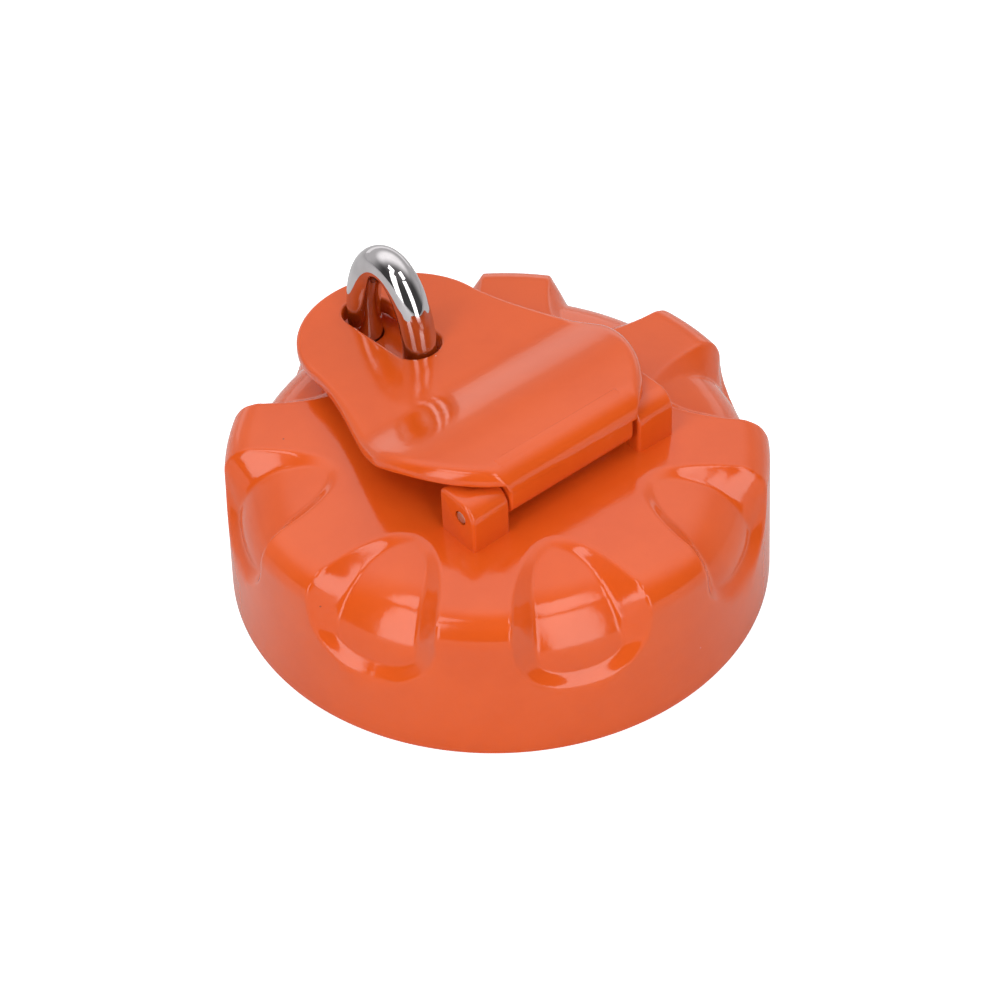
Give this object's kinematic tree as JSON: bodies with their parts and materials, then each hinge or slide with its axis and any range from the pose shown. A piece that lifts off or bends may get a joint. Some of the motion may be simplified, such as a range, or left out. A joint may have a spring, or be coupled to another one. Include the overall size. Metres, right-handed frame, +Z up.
{
  "type": "padlockable tank filler cap",
  "caption": "Round scalloped filler cap with a hinged hasp flap, a padlock staple, and a key lock that draws in opposed bolts beneath its neck gasket.",
  "frame": {"origin": "centre of the skirt's bottom rim, in the plane of the rim", "axes": "+Z up along the cap's axis; +X along the hinge pin; +Y from the hinge pin towards the padlock staple"},
  "size_m": [0.13, 0.13, 0.0725],
  "materials": {
    "orange_enamel": "gloss orange enamel over a casting",
    "chrome_bar": "bright plated",
    "pin_steel": "drawn steel, dull cut ends",
    "zinc_steel": "bright zinc plate",
    "bolt_steel": "ground steel",
    "lock_brass": "turned brass",
    "bare_aluminium": "as-cast and machined aluminium",
    "black_rubber": "matt moulded rubber"
  },
  "bodies": {
    "cap": {"cap_shell": "orange_enamel", "hinge_pin": "pin_steel", "padlock_staple": "chrome_bar", "staple_washer_near": "zinc_steel", "staple_nut_near": "zinc_steel", "staple_washer_far": "zinc_steel", "staple_nut_far": "zinc_steel", "lock_barrel": "chrome_bar", "barrel_seal": "black_rubber", "barrel_nut": "lock_brass", "lock_housing": "bare_aluminium", "housing_cover": "bare_aluminium", "seal_plate": "bare_aluminium", "neck_gasket": "black_rubber", "cover_screw_1": "zinc_steel", "cover_screw_2": "zinc_steel", "cover_screw_3": "zinc_steel", "cover_screw_4": "zinc_steel", "plate_screw_1": "zinc_steel", "plate_screw_2": "zinc_steel", "plate_screw_3": "zinc_steel", "plate_screw_4": "zinc_steel", "vent_body": "lock_brass", "vent_spring": "pin_steel"},
    "flap": {"cover_flap": "orange_enamel"},
    "lock_core": {"key_plug": "lock_brass", "scroll_cam": "bolt_steel", "cam_screw": "zinc_steel"},
    "bolt_right": {"lock_bolt_right": "bolt_steel"},
    "bolt_left": {"lock_bolt_left": "bolt_steel"},
    "vent": {"vent_disc": "black_rubber"}
  },
  "joints": [
    {"name": "flap_hinge", "type": "hinge", "parent": "cap", "child": "flap", "pos_m": [0, -0.0238, 0.0493], "axis": [1, 0, 0], "range_deg": [0, 100]},
    {"name": "key_turn", "type": "hinge", "parent": "cap", "child": "lock_core", "pos_m": [0, 0, 0.03], "axis": [0, 0, 1], "range_deg": [0, 90]},
    {"name": "bolt_right_slide", "type": "slide", "parent": "cap", "child": "bolt_right", "axis": [1, 0, 0], "range_m": [-0.00601, 0]},
    {"name": "bolt_left_slide", "type": "slide", "parent": "cap", "child": "bolt_left", "axis": [-1, 0, 0], "range_m": [-0.00601, 0]},
    {"name": "vent_lift", "type": "slide", "parent": "cap", "child": "vent", "axis": [0, 0, 1], "range_m": [0, 0.0012], "stiffness_N_per_m": 100, "springref_m": -0.001, "deforming": ["vent_spring"]}
  ],
  "couplings": [
    {"joint": "bolt_right_slide", "follows": "key_turn", "m_per_rad": -0.0038197},
    {"joint": "bolt_left_slide", "follows": "key_turn", "m_per_rad": -0.0038197}
  ]
}
